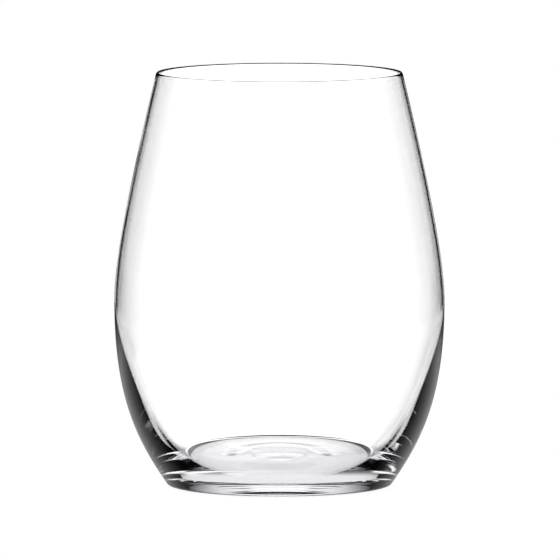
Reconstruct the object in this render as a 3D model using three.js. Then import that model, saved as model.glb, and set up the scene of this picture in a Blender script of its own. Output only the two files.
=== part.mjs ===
// Stemless glass tumbler: one piece of clear blown glass, turned about the Z axis.
// Millimetres, +Z up. The origin is the middle of the flat ring that the foot stands on.
import * as THREE from "three";

// Outside form
const HEIGHT = 105;
const RIM_DIAMETER = 62.85; // outside, where the rounding of the edge starts
const RIM_LEAN = 13.4; // degrees that the wall leans inward where it meets the rim
const BELLY_DIAMETER = 83.7;
const BELLY_HEIGHT = 46.9; // where the bowl is widest, above the table
const FOOT_DIAMETER = 54.7; // outer edge of the flat ring that touches the table
const FOOT_LEAN = 34; // degrees that the wall leans outward just above the heel
const HEEL_RADIUS = 1.65; // rounding between the flat ring and the wall

// Underside
const RING_WIDTH = 3.8; // flat ring that the glass stands on
const PUNT_DEPTH = 1.4; // hollow under the middle of the base

// Fire-polished edge, rounded more on the outside than on the inside
const RIM_WALL = 0.7;
const EDGE_OUTER_DROP = 1.1; // height of the rounding on the outside
const EDGE_INNER_DROP = 0.35; // height of the rounding on the inside
const EDGE_INNER_WIDTH = 0.25; // from the inside wall to the crest

// Glass thickness and the inside
const BELLY_WALL = 0.7;
const FLOOR_HEIGHT = 4.5; // edge of the inside floor, above the table
const FLOOR_RISE = 1.9; // the middle of the inside floor stands higher than its edge
const FLOOR_INSET = 5; // edge of the inside floor, in from the outer edge of the flat ring
const FLOOR_RADIUS = 3.5; // rounding between the inside floor and the inside wall
const INSIDE_LEAN = 50.5; // degrees that the inside wall leans outward above that rounding

// How far each curve keeps its end directions, as a share of what it spans
const FULLNESS = {
  lowerOutside: [0.262, 0.553],
  upperOutside: [0.167, 0.54],
  upperInside: [0.54, 0.167],
  lowerInside: [0.449, 0.258],
  punt: 0.65,
  quarterTurn: 0.55,
};

// Straight facets that stand for each curve of the section, and for one full turn
const PUNT_FACETS = 10;
const HEEL_FACETS = 4;
const WALL_FACETS = 9;
const EDGE_FACETS = 4; // on each side of the crest
const ROUNDING_FACETS = 5;
const FLOOR_FACETS = 6;
const TURN_FACETS = 72;

const radians = THREE.MathUtils.degToRad;
const point = (radius, height) => new THREE.Vector2(radius, height);

const outerBelly = point(BELLY_DIAMETER / 2, BELLY_HEIGHT);
const innerBelly = point(BELLY_DIAMETER / 2 - BELLY_WALL, BELLY_HEIGHT);
const ringInnerRadius = FOOT_DIAMETER / 2 - RING_WIDTH;
const floorEdgeRadius = FOOT_DIAMETER / 2 - FLOOR_INSET;

// Direction of a wall that climbs while leaning outward by an angle (inward if negative).
function climb(leanDegrees) {
  return point(Math.sin(radians(leanDegrees)), Math.cos(radians(leanDegrees)));
}

// The same wall's direction downward.
function descend(leanDegrees) {
  return climb(leanDegrees).negate();
}

// Points of an arc between two angles from the horizontal, both ends included.
function arcPoints(centre, radius, from, to, facets) {
  return Array.from({ length: facets + 1 }, (_, i) => {
    const angle = from + ((to - from) * i) / facets;
    return point(Math.cos(angle), Math.sin(angle)).multiplyScalar(radius).add(centre);
  });
}

// Points of a curve that keeps its end directions for the given lengths.
function curvePoints(start, startDirection, startLength, end, endDirection, endLength, facets) {
  const curve = new THREE.CubicBezierCurve(
    start,
    start.clone().addScaledVector(startDirection, startLength),
    end.clone().addScaledVector(endDirection, -endLength),
    end,
  );
  return curve.getPoints(facets);
}

// Stretch of wall between two heights.
function wallPoints(start, startDirection, end, endDirection, [startShare, endShare]) {
  const span = Math.abs(end.y - start.y);
  const startLength = startShare * span;
  const endLength = endShare * span;
  return curvePoints(start, startDirection, startLength, end, endDirection, endLength, WALL_FACETS);
}

// Rounding of about a quarter turn.
function quarterPoints(start, startDirection, end, endDirection) {
  const step = end.clone().sub(start);
  const startLength = FULLNESS.quarterTurn * Math.abs(step.dot(startDirection));
  const endLength = FULLNESS.quarterTurn * Math.abs(step.dot(endDirection));
  return curvePoints(start, startDirection, startLength, end, endDirection, endLength, EDGE_FACETS);
}

// Shallow hollow under the base, level on the axis and where it runs out into the flat ring.
function puntPoints() {
  const outward = point(1, 0);
  const length = FULLNESS.punt * ringInnerRadius;
  const middle = point(0, PUNT_DEPTH);
  const ringEdge = point(ringInnerRadius, 0);
  return curvePoints(middle, outward, length, ringEdge, outward, length, PUNT_FACETS);
}

// Flat ring, heel, and the outside wall up to the rounding of the edge.
function outsidePoints() {
  const heelCentre = point(FOOT_DIAMETER / 2, HEEL_RADIUS);
  const heel = arcPoints(heelCentre, HEEL_RADIUS, -Math.PI / 2, -radians(FOOT_LEAN), HEEL_FACETS);
  const top = point(RIM_DIAMETER / 2, HEIGHT - EDGE_OUTER_DROP);
  const lower = wallPoints(heel.at(-1), climb(FOOT_LEAN), outerBelly, climb(0), FULLNESS.lowerOutside);
  const upper = wallPoints(outerBelly, climb(0), top, climb(-RIM_LEAN), FULLNESS.upperOutside);
  return [...heel, ...lower.slice(1), ...upper.slice(1)];
}

// Edge of the rim, from the top of the outside wall over the crest to the inside wall.
function edgePoints(outsideTop) {
  const inward = point(-1, 0);
  const insideTop = outsideTop
    .clone()
    .addScaledVector(inward, RIM_WALL)
    .addScaledVector(climb(-RIM_LEAN), EDGE_OUTER_DROP - EDGE_INNER_DROP);
  const crest = point(insideTop.x + EDGE_INNER_WIDTH, HEIGHT);
  const rise = quarterPoints(outsideTop, climb(-RIM_LEAN), crest, inward);
  const fall = quarterPoints(crest, inward, insideTop, descend(-RIM_LEAN));
  return [...rise, ...fall.slice(1)];
}

// Inside wall, the rounding at its foot, and the domed floor in to the axis.
function insidePoints(top) {
  const upper = wallPoints(top, descend(-RIM_LEAN), innerBelly, descend(0), FULLNESS.upperInside);
  const centre = point(floorEdgeRadius, FLOOR_HEIGHT + FLOOR_RADIUS);
  const start = -radians(INSIDE_LEAN);
  const rounding = arcPoints(centre, FLOOR_RADIUS, start, -Math.PI / 2, ROUNDING_FACETS);
  const foot = rounding[0];
  const lower = wallPoints(innerBelly, descend(0), foot, descend(INSIDE_LEAN), FULLNESS.lowerInside);
  const floor = Array.from({ length: FLOOR_FACETS }, (_, i) => {
    const share = 1 - (i + 1) / FLOOR_FACETS;
    return point(share * floorEdgeRadius, FLOOR_HEIGHT + FLOOR_RISE * (1 - share ** 2) ** 2);
  });
  return [...upper.slice(1), ...lower.slice(1), ...rounding.slice(1), ...floor];
}

// The whole glass as one solid of revolution, stood upright.
function tumbler() {
  const outside = outsidePoints();
  const edge = edgePoints(outside.at(-1));
  const section = [...puntPoints(), ...outside, ...edge.slice(1), ...insidePoints(edge.at(-1))];
  const geometry = new THREE.LatheGeometry(section, TURN_FACETS);
  geometry.rotateX(Math.PI / 2);
  const glass = new THREE.MeshStandardMaterial({
    color: 0xf4f5fa,
    roughness: 0.03,
    metalness: 0,
    transparent: true,
    opacity: 0.35,
  });
  const mesh = new THREE.Mesh(geometry, glass);
  mesh.name = "tumbler";
  return mesh;
}

const part = new THREE.Group();
part.add(tumbler());

export default part;
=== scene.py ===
"""Looks of the stemless tumbler: one turned piece of clear glass on a plain white sweep."""

import math

import bpy
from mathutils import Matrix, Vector


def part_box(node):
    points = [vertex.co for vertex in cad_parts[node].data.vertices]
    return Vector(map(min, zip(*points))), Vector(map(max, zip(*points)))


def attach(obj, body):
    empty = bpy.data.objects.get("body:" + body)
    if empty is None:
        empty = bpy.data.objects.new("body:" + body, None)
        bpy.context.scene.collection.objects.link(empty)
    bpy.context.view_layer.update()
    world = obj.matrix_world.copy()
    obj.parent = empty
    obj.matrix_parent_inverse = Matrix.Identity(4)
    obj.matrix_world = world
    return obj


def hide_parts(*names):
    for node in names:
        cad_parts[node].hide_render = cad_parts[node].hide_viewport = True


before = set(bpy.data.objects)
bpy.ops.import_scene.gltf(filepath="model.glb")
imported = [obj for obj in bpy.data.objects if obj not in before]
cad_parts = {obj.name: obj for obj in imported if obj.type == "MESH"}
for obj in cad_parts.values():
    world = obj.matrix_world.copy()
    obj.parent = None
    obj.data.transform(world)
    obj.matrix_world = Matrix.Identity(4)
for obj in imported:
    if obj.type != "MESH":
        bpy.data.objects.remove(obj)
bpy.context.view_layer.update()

# Section of the glass, in metres. Its height and its belly are those of the solid.
MM = 0.001
node_low, node_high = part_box("tumbler")
HEIGHT = node_high.z
RIM_DIAMETER = 62.85 * MM  # outside, where the rounding of the edge starts
RIM_LEAN = 13.4  # degrees that the wall leans inward where it meets the rim
BELLY_DIAMETER = node_high.x - node_low.x
BELLY_HEIGHT = 46.9 * MM  # where the bowl is widest, above the table
FOOT_DIAMETER = 54.7 * MM  # outer edge of the flat ring that touches the table
FOOT_LEAN = 34  # degrees that the wall leans outward just above the heel
HEEL_RADIUS = 1.65 * MM  # rounding between the flat ring and the wall
RING_WIDTH = 3.8 * MM  # flat ring that the glass stands on
PUNT_DEPTH = 1.4 * MM  # hollow under the middle of the base
RIM_WALL = 0.7 * MM  # thickness of the glass at the rim
EDGE_OUTER_DROP = 1.1 * MM  # height of the rounding on the outside of the edge
EDGE_INNER_DROP = 0.35 * MM  # height of the rounding on its inside
EDGE_INNER_WIDTH = 0.25 * MM  # from the inside wall to the crest
BELLY_WALL = 0.7 * MM  # thickness of the glass at the belly
FLOOR_HEIGHT = 4.5 * MM  # edge of the inside floor above the table
FLOOR_RISE = 1.9 * MM  # the middle of the inside floor stands higher than its edge
FLOOR_INSET = 5 * MM  # edge of the inside floor, in from the outer edge of the flat ring
FLOOR_RADIUS = 3.5 * MM  # rounding between the inside floor and the inside wall
INSIDE_LEAN = 50.5  # degrees that the inside wall leans outward above that rounding

# How far each curve keeps its end directions, as a share of the height or width that it spans
LOWER_OUTSIDE = (0.262, 0.553)
UPPER_OUTSIDE = (0.167, 0.54)
UPPER_INSIDE = (0.54, 0.167)
LOWER_INSIDE = (0.449, 0.258)
PUNT_CURVE = 0.65
ROUND_SHARE = 0.55

# Fineness of the turned mesh
CURVE_STEPS = 40  # along a wall, the hollow below, or the rounding into the floor
ROUNDING_STEPS = 16  # round the heel and each side of the rim's edge
FLOOR_STEPS = 16
TURN_STEPS = 256
FULL_TURN = 2 * math.pi

# Finish of the glass
WHITE = (1.0, 1.0, 1.0, 1.0)
GLASS_IOR = 1.52
BODY_TINT = (0.72, 0.66, 0.94, 1.0)  # faint violet that shows only in the thick base
BODY_DENSITY = 3  # per metre of glass
SHADOW_TINT = (0.98, 0.98, 0.985, 1.0)  # what the glass leaves of the light on the floor
RIPPLE_LENGTH = 16 * MM  # from one swell of the blown wall to the next
RIPPLE_HEIGHT = 0.02 * MM

# Surroundings that the glass shows: white panels with dark between them. Each row is a direction,
# clockwise from straight behind the glass, half the width, the softness of the sides, the bottom and
# the top, all in degrees, and the level of light. From a direction with no panel opposite, the glass
# looks dark.
SEEN_THROUGH = (
    (0, 33, 25, 5, 28.5, 1.1),  # behind, above the horizon, wide and soft
    (0, 11, 3, -33, 5, 1.4),  # straight behind, narrow and crisp
    (0, 30, 16, -33, -8.5, 1.5),  # behind, below the horizon, wide
    (270, 10, 7, -90, 6, 1.3),  # left, for a view from the right
    (315, 12, 8, -90, -22, 1.3),  # low behind on the left, for a view from the front right
    (135, 12, 8, -60, -8, 1.3),  # low in front on the right, for a view from the back left
)
MIRRORED = (
    (0, 42, 20, -90, -7, 0.45),  # behind, below the horizon, wide and dim
)
EDGE_SOFT = 2  # degrees over which a panel's top and bottom fade, to either side
HALF_TURN = 180
FLAG_LEVEL = 0.002  # dark between the panels
PAGE_LEVEL = 1.0  # white behind the glass and even light on the floor

# Floor
SWEEP_RADIUS = 29 * MM
SWEEP_FADE = 26 * MM  # where it starts to fade out into the white around it
SWEEP_GAP = 0.2 * MM  # between the foot and the floor
SWEEP_COLOUR = (0.99, 0.99, 0.99, 1.0)

LIGHT_BOUNCES = 32

# Photograph: the camera stands far off, a little above the table
CAMERA_ELEVATION = 5.35  # degrees
CAMERA_DISTANCE = 3.3  # metres
FRAME_WIDTH = 141.9 * MM  # what the square picture spans at the glass
FRAME_PIXELS = 560
TABLE_ROW = 485  # row of the picture where the axis of the glass meets the table
AXIS_COLUMN = 279.4  # column of the picture where the axis stands
SENSOR_WIDTH = 36  # millimetres


def bezier(p0, p1, p2, p3, steps):
    """Points of a cubic curve, both ends included."""
    points = []
    for i in range(steps + 1):
        t = i / steps
        s = 1 - t
        points.append(p0 * s**3 + p1 * (3 * s * s * t) + p2 * (3 * s * t * t) + p3 * t**3)
    return points


def on_circle(centre, radius, angle):
    """Point of a circle at an angle from the horizontal."""
    return centre + Vector((math.cos(angle), math.sin(angle))) * radius


def arc(centre, radius, start, end, steps):
    """Points of an arc, both ends included."""
    return [on_circle(centre, radius, start + (end - start) * i / steps) for i in range(steps + 1)]


def climb(lean):
    """Direction of a wall that climbs while leaning outward by some degrees."""
    return Vector((math.sin(math.radians(lean)), math.cos(math.radians(lean))))


def wall(start, start_direction, end, end_direction, shares):
    """Points of a stretch of wall between two heights."""
    span = abs(end.y - start.y)
    leave = start + start_direction * (shares[0] * span)
    arrive = end - end_direction * (shares[1] * span)
    return bezier(start, leave, arrive, end, CURVE_STEPS)


def underside():
    """From the axis out to the flat ring, level at both ends."""
    middle = Vector((0, PUNT_DEPTH))
    ring_edge = Vector((FOOT_DIAMETER / 2 - RING_WIDTH, 0))
    level = ring_edge * PUNT_CURVE
    return bezier(middle, middle + level, ring_edge - level, ring_edge, CURVE_STEPS)


def outside():
    """Heel and outside wall, up to the rounding of the rim's edge."""
    heel_centre = Vector((FOOT_DIAMETER / 2, HEEL_RADIUS))
    heel = arc(heel_centre, HEEL_RADIUS, -math.pi / 2, -math.radians(FOOT_LEAN), ROUNDING_STEPS)
    belly = Vector((BELLY_DIAMETER / 2, BELLY_HEIGHT))
    top = Vector((RIM_DIAMETER / 2, HEIGHT - EDGE_OUTER_DROP))
    lower = wall(heel[-1], climb(FOOT_LEAN), belly, climb(0), LOWER_OUTSIDE)
    upper = wall(belly, climb(0), top, climb(-RIM_LEAN), UPPER_OUTSIDE)
    return heel + lower[1:] + upper[1:]


def inside(top):
    """Inside wall, the rounding at its foot, and the domed floor in to the axis."""
    belly = Vector((BELLY_DIAMETER / 2 - BELLY_WALL, BELLY_HEIGHT))
    floor_edge = FOOT_DIAMETER / 2 - FLOOR_INSET
    rounding_centre = Vector((floor_edge, FLOOR_HEIGHT + FLOOR_RADIUS))
    lean = -math.radians(INSIDE_LEAN)
    rounding = arc(rounding_centre, FLOOR_RADIUS, lean, -math.pi / 2, CURVE_STEPS)
    upper = wall(top, -climb(-RIM_LEAN), belly, -climb(0), UPPER_INSIDE)
    lower = wall(belly, -climb(0), rounding[0], -climb(INSIDE_LEAN), LOWER_INSIDE)
    floor = []
    for i in range(1, FLOOR_STEPS + 1):
        share = 1 - i / FLOOR_STEPS
        rise = FLOOR_RISE * (1 - share**2) ** 2
        floor.append(Vector((share * floor_edge, FLOOR_HEIGHT + rise)))
    return upper[1:] + lower[1:] + rounding[1:] + floor


def quarter(start, start_direction, end, end_direction):
    """Rounding of about a quarter turn."""
    step = end - start
    leave = start_direction * (ROUND_SHARE * abs(step.dot(start_direction)))
    arrive = end_direction * (ROUND_SHARE * abs(step.dot(end_direction)))
    return bezier(start, start + leave, end - arrive, end, ROUNDING_STEPS)


def edge(outside_top):
    """Fire-polished edge, from the top of the outside wall over the crest to the inside wall."""
    rise = climb(-RIM_LEAN)
    inward = Vector((-1, 0))
    inside_top = outside_top + inward * RIM_WALL + rise * (EDGE_OUTER_DROP - EDGE_INNER_DROP)
    crest = Vector((inside_top.x + EDGE_INNER_WIDTH, HEIGHT))
    over = quarter(outside_top, rise, crest, inward)
    down = quarter(crest, inward, inside_top, -rise)
    return over + down[1:]


def section():
    """Outline of the glass, from the axis under the base round to the axis inside."""
    outer = underside() + outside()
    rim = edge(outer[-1])
    return outer + rim[1:] + inside(rim[-1])


def turn(name, outline):
    """Mesh object of an outline turned about the Z axis."""
    vertices = []
    rings = []
    for point in outline:
        first = len(vertices)
        count = TURN_STEPS if point.x > 0 else 1
        rings.append([first + k % count for k in range(TURN_STEPS + 1)])
        for k in range(count):
            angle = FULL_TURN * k / TURN_STEPS
            vertices.append((point.x * math.cos(angle), point.x * math.sin(angle), point.y))
    faces = []
    for low, high in zip(rings, rings[1:]):
        for k in range(TURN_STEPS):
            corners = (low[k], low[k + 1], high[k + 1], high[k])
            faces.append(tuple(dict.fromkeys(corners)))
    mesh = bpy.data.meshes.new(name)
    mesh.from_pydata(vertices, [], faces)
    mesh.polygons.foreach_set("use_smooth", [True] * len(mesh.polygons))
    piece = bpy.data.objects.new(name, mesh)
    bpy.context.scene.collection.objects.link(piece)
    return piece


def add(tree, kind, **settings):
    """New node of a kind, with its settings."""
    node = tree.nodes.new(kind)
    for name, value in settings.items():
        setattr(node, name, value)
    return node


def calculate(tree, operation, *values):
    """Output of a Math node that works on numbers or other nodes' outputs."""
    node = add(tree, "ShaderNodeMath", operation=operation)
    for socket, value in zip(node.inputs, values):
        if isinstance(value, (int, float)):
            socket.default_value = value
        else:
            tree.links.new(value, socket)
    return node.outputs[0]


def ease(tree, value, start, end, from_level, to_level):
    """Smooth step from one level to another as a value goes from start to end."""
    node = add(tree, "ShaderNodeMapRange", interpolation_type="SMOOTHSTEP")
    tree.links.new(value, node.inputs["Value"])
    node.inputs["From Min"].default_value = start
    node.inputs["From Max"].default_value = end
    node.inputs["To Min"].default_value = from_level
    node.inputs["To Max"].default_value = to_level
    return node.outputs["Result"]


def choose(tree, factor, first, second):
    """First value where the factor is 0, second where it is 1."""
    step = calculate(tree, "SUBTRACT", second, first)
    return calculate(tree, "MULTIPLY_ADD", factor, step, first)


def ripple(tree):
    """Surface normal with the faint waviness of a blown wall."""
    place = add(tree, "ShaderNodeTexCoord").outputs["Object"]
    swells = add(tree, "ShaderNodeTexNoise")
    swells.inputs["Scale"].default_value = 1 / RIPPLE_LENGTH
    swells.inputs["Detail"].default_value = 0.0
    tree.links.new(place, swells.inputs["Vector"])
    bump = add(tree, "ShaderNodeBump")
    bump.inputs["Distance"].default_value = RIPPLE_HEIGHT
    tree.links.new(swells.outputs[0], bump.inputs["Height"])
    return bump.outputs["Normal"]


def clear_glass():
    """Clear soda glass with the faint ripple of a blown wall. Its shadow is a light one."""
    material = bpy.data.materials.new("clear_glass")
    material.use_nodes = True
    tree = material.node_tree
    output = tree.nodes["Material Output"]
    glass = tree.nodes["Principled BSDF"]
    glass.inputs["Base Color"].default_value = WHITE
    glass.inputs["Roughness"].default_value = 0.0
    glass.inputs["IOR"].default_value = GLASS_IOR
    glass.inputs["Transmission Weight"].default_value = 1.0
    tree.links.new(ripple(tree), glass.inputs["Normal"])
    body = add(tree, "ShaderNodeVolumeAbsorption")
    body.inputs["Color"].default_value = BODY_TINT
    body.inputs["Density"].default_value = BODY_DENSITY
    tree.links.new(body.outputs["Volume"], output.inputs["Volume"])
    shadow = add(tree, "ShaderNodeBsdfTransparent")
    shadow.inputs["Color"].default_value = SHADOW_TINT
    rays = add(tree, "ShaderNodeLightPath").outputs
    mix = add(tree, "ShaderNodeMixShader")
    lights_floor = calculate(tree, "MAXIMUM", rays["Is Shadow Ray"], rays["Is Diffuse Ray"])
    tree.links.new(lights_floor, mix.inputs["Fac"])
    tree.links.new(glass.outputs["BSDF"], mix.inputs[1])
    tree.links.new(shadow.outputs["BSDF"], mix.inputs[2])
    tree.links.new(mix.outputs["Shader"], output.inputs["Surface"])
    return material


def panel(tree, azimuth, elevation, direction, half_width, softness, bottom, top):
    """1 inside an upright panel that stands in the given direction, 0 elsewhere, with soft edges."""
    turned = calculate(tree, "SUBTRACT", azimuth, direction)
    across = calculate(tree, "ABSOLUTE", calculate(tree, "WRAP", turned, HALF_TURN, -HALF_TURN))
    sides = ease(tree, across, half_width - softness, half_width + softness, 1, 0)
    below = ease(tree, elevation, top - EDGE_SOFT, top + EDGE_SOFT, 1, 0)
    above = ease(tree, elevation, bottom - EDGE_SOFT, bottom + EDGE_SOFT, 0, 1)
    return calculate(tree, "MULTIPLY", calculate(tree, "MULTIPLY", sides, below), above)


def brightest(tree, azimuth, elevation, panels):
    """Level of the brightest panel in each direction, or of the dark between the panels."""
    level = FLAG_LEVEL
    for *shape, brightness in panels:
        lit = calculate(tree, "MULTIPLY", panel(tree, azimuth, elevation, *shape), brightness)
        level = calculate(tree, "MAXIMUM", level, lit)
    return level


def studio():
    """White page for the camera, even light for the floor, and the panels for the glass."""
    world = bpy.data.worlds.new("studio")
    bpy.context.scene.world = world
    world.use_nodes = True
    tree = world.node_tree
    background = tree.nodes["Background"]
    background.inputs["Color"].default_value = WHITE
    direction = add(tree, "ShaderNodeSeparateXYZ")
    tree.links.new(add(tree, "ShaderNodeTexCoord").outputs["Generated"], direction.inputs[0])
    across = calculate(tree, "ARCTAN2", direction.outputs["X"], direction.outputs["Y"])
    azimuth = calculate(tree, "DEGREES", across)
    elevation = calculate(tree, "DEGREES", calculate(tree, "ARCSINE", direction.outputs["Z"]))
    seen_through = brightest(tree, azimuth, elevation, SEEN_THROUGH)
    mirrored = brightest(tree, azimuth, elevation, MIRRORED)
    rays = add(tree, "ShaderNodeLightPath").outputs
    level = choose(tree, rays["Is Glossy Ray"], PAGE_LEVEL, mirrored)
    level = choose(tree, rays["Is Transmission Ray"], level, seen_through)
    tree.links.new(level, background.inputs["Strength"])


def sweep():
    """White floor that fades out into the white around it."""
    mesh = bpy.data.meshes.new("sweep")
    rim = arc(Vector((0, 0)), SWEEP_RADIUS, 0, FULL_TURN, TURN_STEPS)[:-1]
    mesh.from_pydata([(p.x, p.y, -SWEEP_GAP) for p in rim], [], [range(TURN_STEPS)])
    floor = bpy.data.objects.new("sweep", mesh)
    bpy.context.scene.collection.objects.link(floor)
    material = bpy.data.materials.new("white_sweep")
    material.use_nodes = True
    tree = material.node_tree
    paper = tree.nodes["Principled BSDF"]
    paper.inputs["Base Color"].default_value = SWEEP_COLOUR
    paper.inputs["Roughness"].default_value = 1.0
    paper.inputs["Specular IOR Level"].default_value = 0.0
    place = add(tree, "ShaderNodeVectorMath", operation="LENGTH")
    tree.links.new(add(tree, "ShaderNodeNewGeometry").outputs["Position"], place.inputs[0])
    fade = ease(tree, place.outputs["Value"], SWEEP_FADE, SWEEP_RADIUS, 1, 0)
    tree.links.new(fade, paper.inputs["Alpha"])
    mesh.materials.append(material)
    return floor


def camera():
    """Long lens from far off, so that the axis and the table fall where the photograph has them."""
    data = bpy.data.cameras.new("camera")
    data.sensor_width = SENSOR_WIDTH
    data.lens = SENSOR_WIDTH * CAMERA_DISTANCE / FRAME_WIDTH
    view = bpy.data.objects.new("camera", data)
    bpy.context.scene.collection.objects.link(view)
    elevation = math.radians(CAMERA_ELEVATION)
    back = Vector((0, -math.cos(elevation), math.sin(elevation)))
    pixel = FRAME_WIDTH / FRAME_PIXELS
    target = Vector((
        (FRAME_PIXELS / 2 - AXIS_COLUMN) * pixel,
        0,
        (TABLE_ROW - FRAME_PIXELS / 2) * pixel / math.cos(elevation),
    ))
    view.location = target + back * CAMERA_DISTANCE
    view.rotation_euler = (-back).to_track_quat("-Z", "Y").to_euler()
    bpy.context.scene.camera = view


def render_paths():
    """Enough bounces for light that stays in the thick base for a while."""
    cycles = bpy.context.scene.cycles
    cycles.max_bounces = LIGHT_BOUNCES
    cycles.transmission_bounces = LIGHT_BOUNCES
    cycles.glossy_bounces = LIGHT_BOUNCES
    cycles.transparent_max_bounces = LIGHT_BOUNCES


tumbler = turn("tumbler_glass", section())
tumbler.data.materials.append(clear_glass())
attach(tumbler, "root")
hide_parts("tumbler")

sweep()
studio()
camera()
render_paths()
bpy.context.scene.view_settings.view_transform = "Standard"
